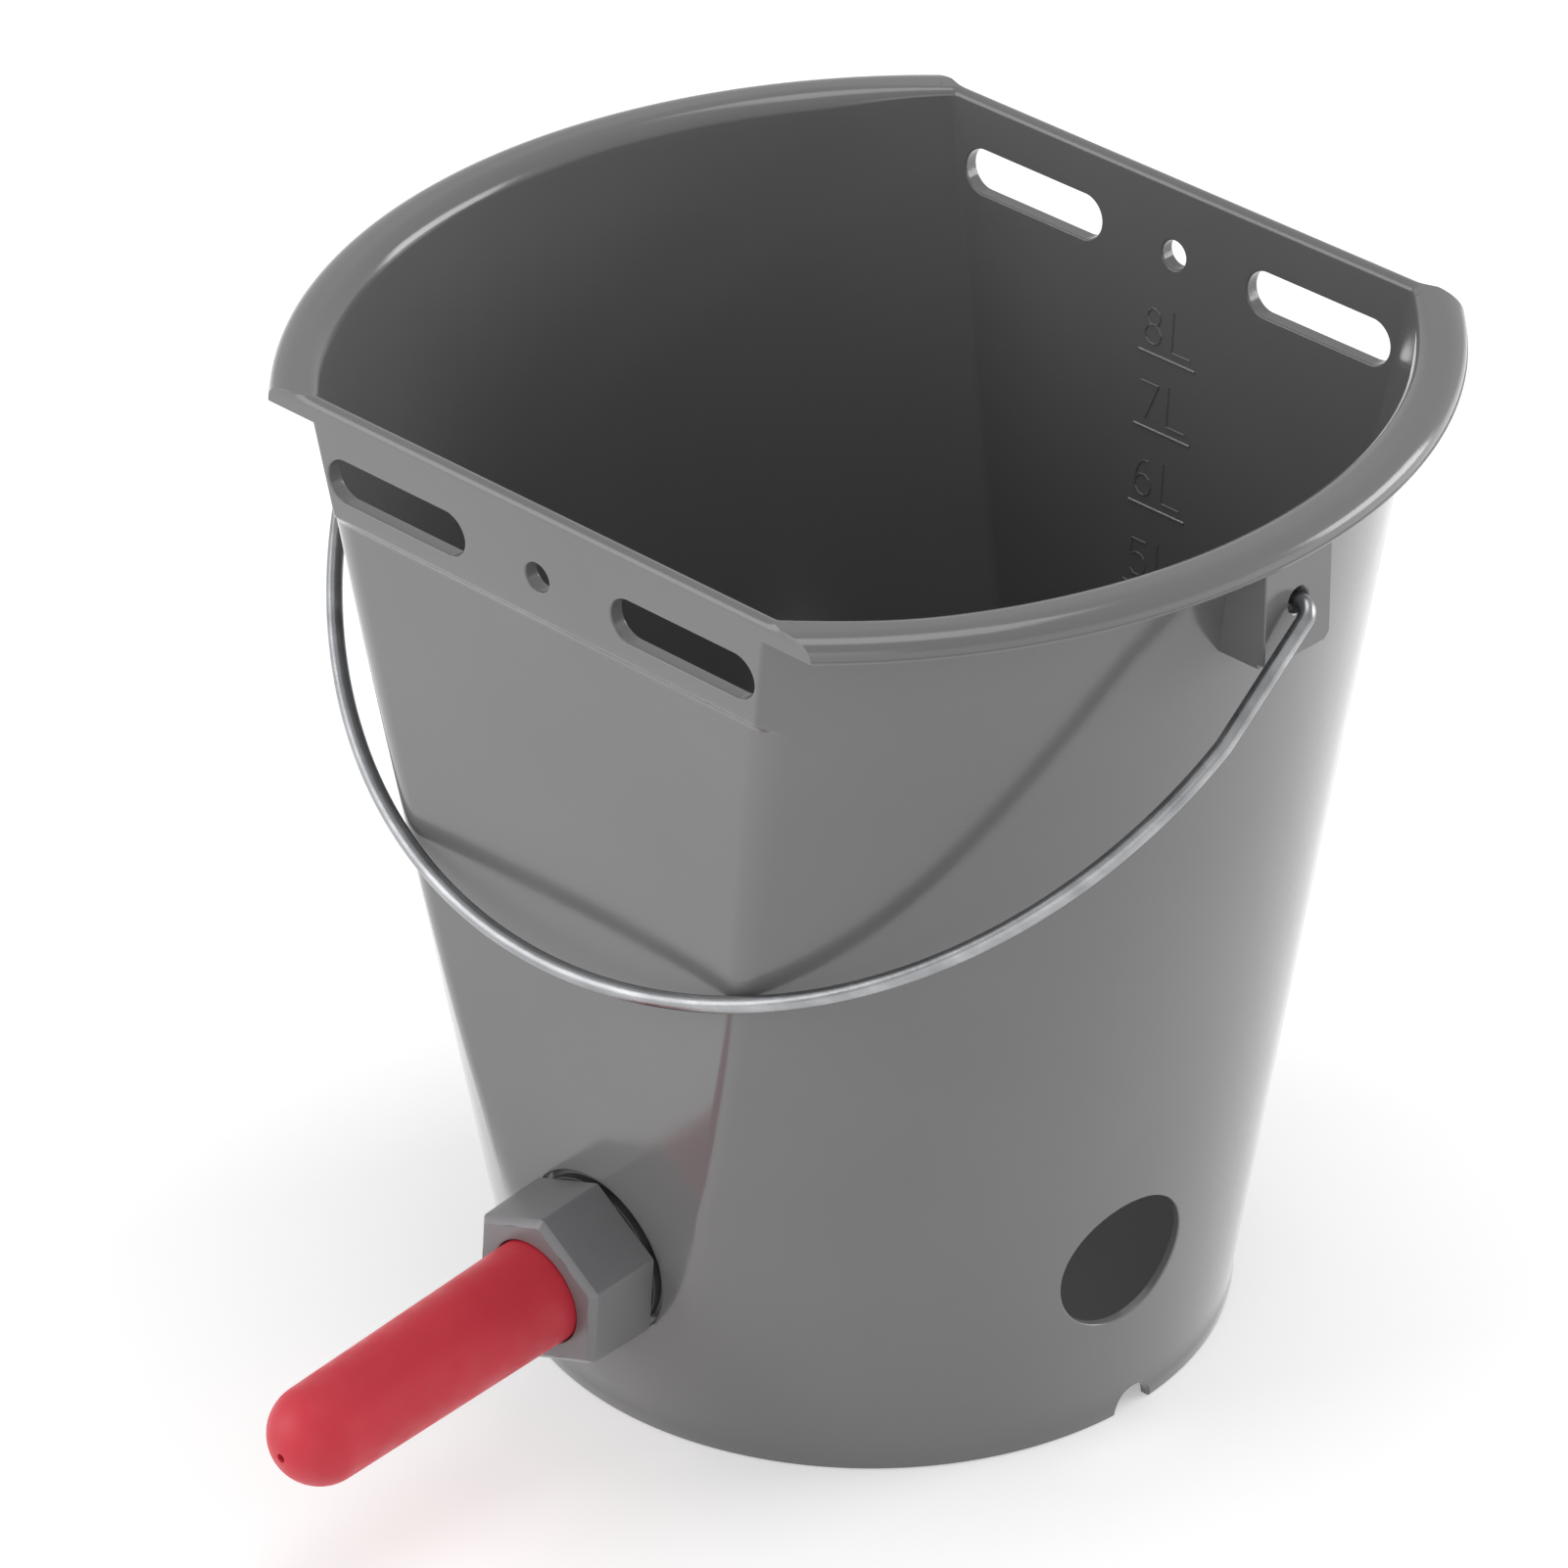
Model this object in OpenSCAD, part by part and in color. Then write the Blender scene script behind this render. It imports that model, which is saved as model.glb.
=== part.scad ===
// Calf feeder bucket with two flat hanging sides, a wire bail and a screwed-in teat valve.
// Millimetres. +Z is up, the floor is at Z = 0 under the middle of the bucket,
// the teat points to -Y and the bail turns in ears at -X and +X.

/* [Bucket] */
// Height of the bucket from the ground to the rim
bucket_h = 277.4; // [250:1:310]
// Outer radius of the round foot on the ground
foot_r = 95.3; // [88:0.5:99]
// Half the width of the wall at the rim, from the middle to a round side
rim_half_w = 132.7; // [126:0.5:138]
// Plan radius of each round side at the rim
rim_arc_r = 157.2; // [148:0.2:166]
// Half the depth of the wall at the rim, from the middle to a flat side
rim_flat_y = 117; // [112:0.5:120]
// Lean of the two flat sides from upright, in degrees
flat_lean = 4; // [3:0.1:4.6]
// Thickness of the moulded wall
wall_t = 2.5; // [2:0.1:3.5]
// Height of the floor's underside above the ground
floor_lift = 15.5; // [8:0.5:18]
// Thickness of the floor
floor_t = 3; // [2:0.5:5]
// Height of the bead round the foot
bead_h = 3.5; // [2:0.5:6]
// How far the bead stands out from the wall
bead_t = 0.6; // [0.3:0.1:1.2]
// Radius of the drain notch in the foot
notch_r = 6.5; // [4:0.5:8]
// Place of the drain notch along Y
notch_y = -2.2; // [-20:0.2:20]

/* [Lip] */
// Half the width over the rolled lip, from the middle to its outer edge
lip_half_w = 143.6; // [141:0.1:150]
// Plan radius of the lip's outer edge
lip_arc_r = 164.5; // [158:0.5:172]
// Height of the lip
lip_h = 6; // [5:0.1:8]
// Radius of the lip's rounded outer shoulder
lip_round = 4; // [2.5:0.5:5]
// Thickness of the lip and of the webs at its ends
lip_t = 2.2; // [1.6:0.1:3]

/* [Hanging bands] */
// How far a hanging band stands out from the flat side
band_t = 1.7; // [1:0.1:2.5]
// Height of a hanging band, down from the rim
band_h = 32.2; // [29:0.2:38]
// Height of the sloping ledge below a band
band_ledge = 2.7; // [1:0.1:5]
// Radius of the band's top edge
band_edge_r = 3; // [1:0.2:3.6]
// Depth of the slots' and holes' centre line below the rim
slot_drop = 19.8; // [17:0.2:21]
// Distance from the middle to the near end of a slot
slot_near_x = 25.3; // [18:0.1:32]
// Gap between the far end of a slot and the end of the band
slot_end_gap = 1.5; // [1:0.1:8]
// Width of a slot
slot_w = 12.6; // [8:0.2:15]
// Radius of the hole between the slots
peg_hole_r = 4.05; // [3:0.05:6]

/* [Ears] */
// Half the width of an ear
ear_half_w = 12; // [10:0.5:16]
// Thickness of an ear's plate and webs
ear_t = 2.5; // [2:0.1:3.5]
// Height of an ear below the rim
ear_h = 33.4; // [30:0.2:40]
// How far an ear's face stays back from the lip's edge
ear_inset = 1.1; // [0.8:0.1:2]
// Depth of the bail's pivot below the rim
pivot_drop = 18.1; // [16:0.1:22]
// Radius of the bail's hole in an ear
ear_hole_r = 3.6; // [3:0.1:5]

/* [Bail] */
// Thickness of the bail's wire
wire_d = 4.4; // [3.5:0.1:5]
// Gap between the bail's legs and the lip as the bail swings past
bail_gap = 1.5; // [1:0.1:4]
// Lean of each leg towards the kink, in degrees
leg_a = 2.6; // [1:0.1:4]
// Distance of the kink from the pivot
kink_drop = 40; // [30:1:50]
// Distance of the bail's middle from the pivot
bail_reach = 162.6; // [155:0.1:175]
// Bend radius of the wire at the ears
wire_bend_r = 4; // [3:0.5:6]
// Gap between the resting bail and the bucket's corners
rest_gap = 0.3; // [0.2:0.05:1]

/* [Valve] */
// Height of the valve's axis where it leaves the wall
valve_z = 52.2; // [48:0.2:75]
// Radius of the valve hole in the wall and of the spare hole
valve_hole_r = 19.6; // [18:0.1:20]
// Radius of the round recess that the outer gasket lies in
recess_r = 23.2; // [22.8:0.1:25]
// Depth of that recess
recess_d = 1.6; // [0.8:0.1:2]
// Radius of the boss that backs the wall behind the recess
boss_r = 27; // [26:0.5:28]
// Gap between the valve's shoulder and the hole in the wall
shoulder_gap = 0.3; // [0.1:0.05:0.5]
// Outer radius of the valve's thread
thread_r = 17.5; // [16:0.1:17.6]
// Gap between the threads, and between the spigot and the outer gasket
thread_gap = 0.1; // [0.05:0.01:0.1]
// Radius of the valve's flange inside the bucket
flange_r = 26; // [24:0.5:27]
// Thickness of that flange
flange_t = 3; // [2:0.5:5]
// Thickness of the inner gasket
inner_gasket_t = 2; // [1:0.5:3]
// How far the inner gasket's edge stays inside the flange's edge
inner_gasket_inset = 1; // [0.5:0.5:2]
// Radius of the outer gasket
outer_gasket_r = 21.6; // [20.5:0.1:22.6]
// Thickness of the outer gasket
outer_gasket_t = 2.6; // [2.2:0.1:3.2]

/* [Spare hole] */
// Height of the spare hole's centre
spare_z = 53.4; // [45:0.2:80]
// Direction of the spare hole from +X, in degrees, minus is towards the teat
spare_deg = -7.1; // [-20:0.1:20]

/* [Nut] */
// Length of the nut
nut_l = 21.4; // [18:0.2:26]
// Width of the nut across its corners, halved
nut_corner_r = 24; // [22.8:0.1:26]
// Turn of the nut's corners about its axis, in degrees
nut_deg = 21.5; // [0:0.5:60]
// Chamfer at the front of the nut
nut_chamfer = 1.6; // [0.6:0.1:2.4]
// Thickness of the nut's front web
nut_web_t = 3; // [2:0.5:4]

/* [Teat] */
// Length of the teat in front of the nut
teat_l = 88.8; // [70:1:110]
// Radius of the teat where it leaves the nut
teat_root_r = 14.5; // [13:0.1:15]
// Radius of the teat's round tip
teat_tip_r = 13.4; // [11:0.1:14]
// Thickness of the teat's rubber
teat_t = 3.2; // [2:0.1:4]
// Radius of the teat's clamped flange
teat_flange_r = 17.2; // [16.5:0.1:17.2]
// Thickness of that flange
teat_flange_t = 2.4; // [1.5:0.1:3.5]
// Radius of the sucking hole in the tip
teat_hole_r = 1.2; // [0.8:0.1:2]
// Gap between the teat and the nut's front opening
teat_gap = 0.3; // [0.2:0.05:0.6]
// Gap at the clamped faces of the teat's flange
clamp_gap = 0.05; // [0:0.01:0.1]

/* [Ball] */
// Radius of the ball
ball_r = 8; // [6.5:0.1:8.4]
// Gap round the ball in its chamber
ball_gap = 0.9; // [0.5:0.1:1.5]
// Radius of the inlet that the ball closes
inlet_r = 6; // [4:0.1:6.4]
// Gap between the ball and its seat
seat_gap = 0.3; // [0.2:0.05:0.5]
// Distance that the ball lifts from its seat
ball_lift = 3; // [2:0.1:3.5]
// Thickness of the ball's cage
cage_t = 2; // [1.2:0.1:2.4]
// Width of the cage's ring
cage_ring_w = 1.6; // [1:0.1:2]
// Width of the cage's two cross bars
cage_bar_w = 1.8; // [1:0.1:3]
// Gap round the cage where it snaps into the chamber
cage_gap = 0.05; // [0.02:0.01:0.1]

/* [Litre scale] */
// Number of litre marks
scale_marks = 8; // [4:1:9]
// Length of a litre mark
mark_l = 19.3; // [12:0.1:24]
// Width of a litre mark
mark_w = 1; // [0.6:0.1:2]
// Height of a litre mark above the wall
mark_t = 0.5; // [0.3:0.1:0.8]

/* [Hidden] */
$fn = 96;
over = 1;
far = 400;

// Round sides: each is half of a leaning cone that meets the foot circle and the rim arc
near_a = atan((rim_half_w - foot_r) / bucket_h);
far_a = atan((2 * rim_arc_r - rim_half_w - foot_r) / bucket_h);
cone_a = (near_a + far_a) / 2;
cone_lean = (far_a - near_a) / 2;
apex_depth = 2 * foot_r / (tan(near_a) + tan(far_a));
apex_x = foot_r - apex_depth * tan(near_a);
cone_l = apex_depth + bucket_h + far / 4;

// Flat sides and bands
function flat_y(z) = rim_flat_y - (bucket_h - z) * tan(flat_lean);
function band_y(z) = flat_y(z) + band_t;
function outer_r_at(z) = foot_r + (rim_arc_r - foot_r) * z / bucket_h;
function arc_c_at(z) = (rim_half_w - rim_arc_r) * z / bucket_h;
function wall_y(z) = min(flat_y(z), sqrt(pow(outer_r_at(z), 2) - pow(arc_c_at(z), 2)));
slot_z = bucket_h - slot_drop;
band_end_x = arc_c_at(slot_z) + sqrt(pow(outer_r_at(slot_z), 2) - pow(band_y(slot_z), 2));
slot_far_x = band_end_x - slot_end_gap;
slot_x = (slot_near_x + slot_far_x) / 2;
slot_l = slot_far_x - slot_near_x;
lip_root_r = lip_arc_r - lip_half_w + rim_half_w - wall_t;
ear_overlap = 0.2;
ear_top_z = bucket_h - lip_t + ear_overlap;
floor_z = floor_lift + floor_t;

// Bail
pivot_z = bucket_h - pivot_drop;
wire_r = wire_d / 2;
leg_x = lip_half_w + bail_gap + wire_r;
kink_x = leg_x - kink_drop * tan(leg_a);
arc_drop = (pow(bail_reach, 2) - pow(kink_x, 2) - pow(kink_drop, 2)) / (2 * (bail_reach - kink_drop));
bail_arc_r = bail_reach - arc_drop;
kink_a = acos((kink_drop - arc_drop) / bail_arc_r);
leg_l = (kink_drop - wire_bend_r * (1 + sin(leg_a))) / cos(leg_a);
leg_top = [kink_x + leg_l * sin(leg_a), -kink_drop + leg_l * cos(leg_a)];
end_c = [leg_top[0] - wire_bend_r * cos(leg_a), -wire_bend_r];
knot_swell = 0.03;
ear_x = lip_half_w - ear_inset;
wire_end_x = ear_x - ear_t - wire_d;

// The bail hangs down at the front until it meets the corners between flat and round sides
function outside_flat(p) = (-p[1] - flat_y(p[2])) * cos(flat_lean);
function outside_round(p) =
    let (x = p[0] - apex_x, z = p[2] + apex_depth,
         h = z * cos(cone_lean) - x * sin(cone_lean),
         r = norm([x * cos(cone_lean) + z * sin(cone_lean), p[1]]))
    r * cos(cone_a) - h * sin(cone_a);
function corner_a(z) = acos(min(1, flat_y(z) / outer_r_at(z)));
function corner_gap(to_flat, to_round, a) =
    to_round <= to_flat * cos(a) ? to_flat :
    to_flat <= to_round * cos(a) ? to_round :
    sqrt(pow(to_flat, 2) + pow(to_round, 2) - 2 * to_flat * to_round * cos(a)) / sin(a);
function wire_point(t, tilt) =
    let (d = arc_drop + bail_arc_r * cos(t))
    [bail_arc_r * sin(t), -d * sin(tilt), pivot_z - d * cos(tilt)];
function wire_clear(tilt) =
    min([for (t = [4 : 1 : 60])
        let (p = wire_point(t, tilt))
        corner_gap(outside_flat(p), outside_round(p), corner_a(p[2]))]) - wire_r;
function rest_tilt(tilt) = tilt > 70 || wire_clear(tilt) >= rest_gap ? tilt : rest_tilt(tilt + 0.05);
bail_tilt = rest_tilt(35);

// Valve, measured along its axis from the wall's outer face
boss_s = -wall_t - recess_d + 0.1;
gasket_back_s = -recess_d;
nut_back_s = gasket_back_s + outer_gasket_t;
nut_front_s = nut_back_s + nut_l;
web_s = nut_front_s - nut_web_t;
spigot_s = web_s - teat_flange_t - 2 * clamp_gap;
flange_top_s = boss_s - inner_gasket_t;
flange_back_s = flange_top_s - flange_t;
shoulder_r = valve_hole_r - shoulder_gap;
nut_bore_r = thread_r + thread_gap;
web_hole_r = teat_root_r + teat_gap;
chamber_r = ball_r + ball_gap;
seat_s = flange_top_s + flange_t / 2;
ball_s = seat_s + sqrt(pow(ball_r, 2) - pow(inlet_r, 2)) + seat_gap;
cage_s = ball_s + ball_r + ball_lift + seat_gap;
cage_r = chamber_r - cage_gap;
teat_tip_s = nut_front_s + teat_l;
tip_centre_s = teat_tip_s - teat_tip_r;
hole_deep = 2 * boss_r;

// Litre marks stand where the bucket, filled from its floor, holds each whole litre
inner_flat_drop = wall_t / cos(flat_lean);
function level_area(z) =
    let (r = outer_r_at(z) - wall_t, c = arc_c_at(z), y = min(r, flat_y(z) - inner_flat_drop))
    4 * c * y + 2 * y * sqrt(pow(r, 2) - pow(y, 2)) + 2 * pow(r, 2) * asin(y / r) * PI / 180;
function litres_to(z) = z <= floor_z ? 0 : litres_to(z - 1) + level_area(z - 0.5) / 1e6;
fill_levels = [for (z = [floor_z : 1 : bucket_h - band_h]) [litres_to(z), z]];
mark_zs = [for (n = [1 : scale_marks]) lookup(n, fill_levels)];

module right_side() {
    translate([0, -far, -over]) cube([far, 2 * far, bucket_h + 2 * over]);
}

// Solid inside the round sides, drawn in by the given amount
module round_sides(inset = 0) {
    for (side = [0, 1])
        mirror([side, 0, 0])
            intersection() {
                right_side();
                translate([apex_x, 0, -apex_depth])
                    rotate([0, -cone_lean, 0])
                        translate([0, 0, inset / sin(cone_a)])
                            cylinder(h = cone_l, r1 = 0, r2 = cone_l * tan(cone_a), $fn = 180);
            }
}

// Space between the two flat sides, drawn in by the given amount
module between_flats(inset = 0) {
    drop = inset / cos(flat_lean);
    low = -over;
    high = bucket_h + over;
    rotate([90, 0, 90])
        linear_extrude(height = 2 * far, center = true)
            polygon([
                [-flat_y(low) + drop, low], [flat_y(low) - drop, low],
                [flat_y(high) - drop, high], [-flat_y(high) + drop, high]
            ]);
}

// Space between the two bands' outer faces; the bands stop at a sloping ledge
module between_bands(inset = 0) {
    low = bucket_h - band_h;
    ledge = low - band_ledge;
    high = bucket_h + over;
    rotate([90, 0, 90])
        linear_extrude(height = 2 * far, center = true)
            polygon([
                [-flat_y(-over), -over], [flat_y(-over), -over],
                [flat_y(ledge), ledge], [band_y(low) - inset, low],
                [band_y(high) - inset, high], [-band_y(high) + inset, high],
                [-band_y(low) + inset, low], [-flat_y(ledge), ledge]
            ]);
}

module slab(z1, z2) {
    translate([-far, -far, z1]) cube([2 * far, 2 * far, z2 - z1]);
}

module outer_form() {
    intersection() {
        round_sides();
        between_bands();
        slab(0, bucket_h);
    }
}

module hollow(z1, z2) {
    intersection() {
        round_sides(wall_t);
        between_flats(wall_t);
        slab(z1, z2);
    }
}

// Section of the lip, from its arc's centre outwards
module lip_section(open_below) {
    difference() {
        translate([lip_root_r, bucket_h - lip_h]) square([lip_arc_r - lip_root_r, lip_h]);
        translate([lip_arc_r - lip_round, bucket_h - lip_round])
            difference() {
                square(lip_round + over);
                circle(lip_round);
            }
        if (open_below)
            translate([0, bucket_h - lip_h - over])
                square([lip_arc_r - lip_t, lip_h - lip_t + over]);
    }
}

module lip_ring(open_below) {
    translate([lip_half_w - lip_arc_r, 0, 0])
        rotate_extrude($fn = 180) lip_section(open_below);
}

module lip() {
    for (side = [0, 1])
        mirror([side, 0, 0])
            intersection() {
                right_side();
                between_bands();
                union() {
                    lip_ring(true);
                    difference() {
                        lip_ring(false);
                        between_bands(lip_t);
                    }
                }
            }
}

// Ear for the bail: a plate under the lip on two webs, open below
module ears() {
    for (side = [0, 1])
        mirror([side, 0, 0])
            difference() {
                translate([foot_r, -ear_half_w, bucket_h - ear_h])
                    cube([ear_x - foot_r, 2 * ear_half_w, ear_top_z - bucket_h + ear_h]);
                translate([foot_r - over, -ear_half_w + ear_t, bucket_h - ear_h - over])
                    cube([ear_x - ear_t - foot_r + over, 2 * (ear_half_w - ear_t), ear_h + over - lip_t]);
            }
}

module foot_bead() {
    slope = tan(near_a) * bead_h;
    cylinder(h = bead_h, r1 = foot_r + bead_t, r2 = foot_r + bead_t + slope, $fn = 180);
}

// Rounds the top edge of both bands over the stretch between the lips
module band_edges() {
    for (side = [0, 1])
        mirror([0, side, 0])
            translate([-slot_far_x, band_y(bucket_h) - band_edge_r, bucket_h - band_edge_r])
                difference() {
                    cube([2 * slot_far_x, band_edge_r + over, band_edge_r + over]);
                    translate([-over, 0, 0])
                        rotate([0, 90, 0])
                            cylinder(h = 2 * slot_far_x + 2 * over, r = band_edge_r);
                }
}

module slot_cut() {
    reach = (slot_l - slot_w) / 2;
    rotate([90, 0, 0])
        for (end = [-reach, reach])
            translate([end, 0, 0]) cylinder(h = 2 * far, r = slot_w / 2, center = true);
    cube([2 * reach, 2 * far, slot_w], center = true);
}

module hanging_holes() {
    for (x = [-slot_x, slot_x]) translate([x, 0, slot_z]) slot_cut();
    translate([0, 0, slot_z])
        rotate([90, 0, 0]) cylinder(h = 2 * far, r = peg_hole_r, center = true);
}

module at_valve(s = 0) {
    translate([0, -wall_y(valve_z), valve_z])
        rotate([90 + flat_lean, 0, 0])
            translate([0, 0, s]) children();
}

module at_spare() {
    rotate([0, 0, spare_deg])
        translate([foot_r + spare_z * tan(near_a), 0, spare_z])
            rotate([0, 90 + near_a, 0]) children();
}

// Recess, hole and the room that the valve's flange and gasket need inside
module valve_seat_cut() {
    at_valve(-recess_d) cylinder(h = recess_d + over, r = recess_r);
    at_valve(-hole_deep / 2) cylinder(h = hole_deep, r = valve_hole_r);
    at_valve(flange_back_s - over) cylinder(h = boss_s - flange_back_s + over, r = flange_r + shoulder_gap);
}

module spare_hole() {
    at_spare() cylinder(h = valve_hole_r, r = valve_hole_r, center = true);
}

module drain_notch() {
    translate([0, notch_y, 0]) rotate([0, 90, 0]) cylinder(h = foot_r + 4 * bead_t, r = notch_r);
}

module ear_holes() {
    for (side = [0, 1])
        mirror([side, 0, 0])
            translate([ear_x - 2 * ear_t, 0, pivot_z])
                rotate([0, 90, 0]) cylinder(h = 3 * ear_t, r = ear_hole_r);
}

// Raised litre marks on the inside of the back flat side
module litre_marks() {
    for (z = mark_zs)
        translate([0, wall_y(z) - inner_flat_drop, z])
            rotate([-flat_lean, 0, 0])
                cube([mark_l, 2 * mark_t, mark_w], center = true);
}

module bucket() {
    color("dimgray")
        difference() {
            union() {
                difference() {
                    union() {
                        outer_form();
                        lip();
                        ears();
                        foot_bead();
                    }
                    hollow(floor_z, bucket_h + over);
                    hollow(-over, floor_lift);
                    band_edges();
                }
                at_valve(boss_s) cylinder(h = wall_t, r = boss_r);
                litre_marks();
            }
            valve_seat_cut();
            spare_hole();
            hanging_holes();
            ear_holes();
            drain_notch();
        }
}

// Bend of the wire in the bail's plane; turns are in degrees from straight down
module wire_bend(centre, radius, from, to) {
    translate([centre[0], 0, centre[1]])
        rotate([90, 0, 0])
            rotate([0, 0, from - 90])
                rotate_extrude(angle = to - from, $fn = 240)
                    translate([radius, 0]) circle(wire_r, $fn = 32);
}

// A ball a hair thicker than the wire joins two of its stretches
module wire_knot(place) {
    translate([place[0], 0, place[1]]) sphere(wire_r + knot_swell, $fn = 32);
}

// One leg: straight from the kink up to the bent end that turns in the ear
module bail_leg() {
    wire_knot([kink_x, -kink_drop]);
    translate([kink_x, 0, -kink_drop])
        rotate([0, leg_a, 0]) cylinder(h = leg_l, r = wire_r, $fn = 32);
    wire_knot(leg_top);
    wire_bend(end_c, wire_bend_r, 90 - leg_a, 180);
    wire_knot([end_c[0], 0]);
    translate([wire_end_x, 0, 0])
        rotate([0, 90, 0]) cylinder(h = end_c[0] - wire_end_x, r = wire_r, $fn = 32);
}

module bail() {
    color("silver")
        translate([0, 0, pivot_z])
            rotate([-bail_tilt, 0, 0]) {
                wire_bend([0, -arc_drop], bail_arc_r, -kink_a, kink_a);
                for (side = [0, 1]) mirror([side, 0, 0]) bail_leg();
            }
}

// Valve body: flange inside the bucket, shoulder in the wall and threaded spigot outside
module valve_body() {
    color("white")
        at_valve()
            difference() {
                union() {
                    translate([0, 0, flange_back_s]) cylinder(h = flange_t, r = flange_r);
                    translate([0, 0, flange_top_s])
                        cylinder(h = gasket_back_s - flange_top_s, r = shoulder_r);
                    translate([0, 0, flange_top_s])
                        cylinder(h = spigot_s - flange_top_s, r = thread_r);
                }
                translate([0, 0, flange_back_s - over])
                    cylinder(h = seat_s - flange_back_s + 2 * over, r = inlet_r);
                translate([0, 0, seat_s]) cylinder(h = spigot_s - seat_s + over, r = chamber_r);
            }
}

module inner_gasket() {
    color("black")
        at_valve(flange_top_s)
            difference() {
                cylinder(h = inner_gasket_t, r = flange_r - inner_gasket_inset);
                translate([0, 0, -over])
                    cylinder(h = inner_gasket_t + 2 * over, r = shoulder_r + thread_gap);
            }
}

module outer_gasket() {
    color("black")
        at_valve(gasket_back_s)
            difference() {
                cylinder(h = outer_gasket_t, r = outer_gasket_r);
                translate([0, 0, -over])
                    cylinder(h = outer_gasket_t + 2 * over, r = nut_bore_r);
            }
}

module cap_nut() {
    color("gray")
        at_valve(nut_back_s)
            difference() {
                rotate([0, 0, nut_deg]) {
                    cylinder(h = nut_l - nut_chamfer, r = nut_corner_r, $fn = 6);
                    translate([0, 0, nut_l - nut_chamfer])
                        cylinder(h = nut_chamfer, r1 = nut_corner_r,
                                 r2 = nut_corner_r - nut_chamfer, $fn = 6);
                }
                translate([0, 0, -over]) cylinder(h = nut_l - nut_web_t + over, r = nut_bore_r);
                cylinder(h = nut_l + over, r = web_hole_r);
            }
}

module teat() {
    flange_s = spigot_s + clamp_gap;
    body_l = tip_centre_s - flange_s;
    color("crimson")
        at_valve(flange_s)
            difference() {
                union() {
                    cylinder(h = teat_flange_t, r = teat_flange_r);
                    cylinder(h = body_l, r1 = teat_root_r, r2 = teat_tip_r);
                    translate([0, 0, body_l]) sphere(teat_tip_r);
                }
                translate([0, 0, -over])
                    cylinder(h = body_l + over, r1 = teat_root_r - teat_t, r2 = teat_tip_r - teat_t);
                translate([0, 0, body_l]) sphere(teat_tip_r - teat_t);
                translate([0, 0, body_l]) cylinder(h = 2 * teat_tip_r, r = teat_hole_r);
            }
}

module valve_ball() {
    color("ivory") at_valve(ball_s) sphere(ball_r);
}

// Cage that keeps the ball in its chamber: a ring with two cross bars
module ball_cage() {
    color("white")
        at_valve(cage_s) {
            difference() {
                cylinder(h = cage_t, r = cage_r);
                translate([0, 0, -over]) cylinder(h = cage_t + 2 * over, r = cage_r - cage_ring_w);
            }
            for (turn = [0, 90])
                rotate([0, 0, turn])
                    translate([0, 0, cage_t / 2])
                        cube([2 * cage_r - cage_ring_w, cage_bar_w, cage_t], center = true);
        }
}

bucket();
bail();
valve_body();
inner_gasket();
outer_gasket();
cap_nut();
teat();
valve_ball();
ball_cage();
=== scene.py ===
import bpy
import bmesh
import math
from mathutils import Matrix, Vector


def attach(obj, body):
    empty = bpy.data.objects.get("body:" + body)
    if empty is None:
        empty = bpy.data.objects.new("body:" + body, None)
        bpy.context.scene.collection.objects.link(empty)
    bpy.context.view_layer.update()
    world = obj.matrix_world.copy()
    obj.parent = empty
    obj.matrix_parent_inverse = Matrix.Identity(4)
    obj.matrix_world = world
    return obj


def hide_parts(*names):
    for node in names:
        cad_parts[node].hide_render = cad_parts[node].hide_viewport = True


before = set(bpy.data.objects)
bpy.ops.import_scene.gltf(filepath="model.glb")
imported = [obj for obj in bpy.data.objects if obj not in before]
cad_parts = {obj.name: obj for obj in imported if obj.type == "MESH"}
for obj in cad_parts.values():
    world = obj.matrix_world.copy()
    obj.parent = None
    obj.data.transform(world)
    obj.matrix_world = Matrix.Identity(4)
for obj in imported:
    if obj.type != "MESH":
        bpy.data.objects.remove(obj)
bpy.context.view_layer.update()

# Studio: the bucket stands on a seamless pale floor under large soft lamps and is seen through
# a long lens from the front right, 31 degrees above the floor. None of this is part of the bucket.
camera_place = Vector((1.346637, -1.408587, 1.333984))
ahead = Vector((-0.5972768, 0.6105854, -0.5200442))
to_right = Vector((0.7168544, 0.6972069, -0.0047231))
upward = Vector((-0.3596945, 0.3756170, 0.8541263))
camera = bpy.data.objects.new("camera", bpy.data.cameras.new("camera"))
bpy.context.scene.collection.objects.link(camera)
camera.data.sensor_width = 36
camera.data.lens = 203.72
camera.data.clip_end = 60
camera.matrix_world = (Matrix.Translation(camera_place)
                       @ Matrix((to_right, upward, -ahead)).transposed().to_4x4())
bpy.context.scene.camera = camera
bpy.context.scene.view_settings.view_transform = "Standard"


def new_finish(name):
    """A material with its shader and a place texture in metres, which is fixed to the piece."""
    finish = bpy.data.materials.new(name)
    finish.use_nodes = True
    tree = finish.node_tree
    place = tree.nodes.new("ShaderNodeTexCoord")
    return finish, tree, tree.nodes["Principled BSDF"], place.outputs["Object"]


def stretched(tree, place, scale):
    mapping = tree.nodes.new("ShaderNodeMapping")
    mapping.inputs["Scale"].default_value = scale
    tree.links.new(place, mapping.inputs["Vector"])
    return mapping.outputs["Vector"]


def mottle(tree, place, scale, detail=2.0, rough=0.5):
    noise = tree.nodes.new("ShaderNodeTexNoise")
    noise.inputs["Scale"].default_value = scale
    noise.inputs["Detail"].default_value = detail
    noise.inputs["Roughness"].default_value = rough
    tree.links.new(place, noise.inputs["Vector"])
    return noise.outputs["Fac"]


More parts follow.
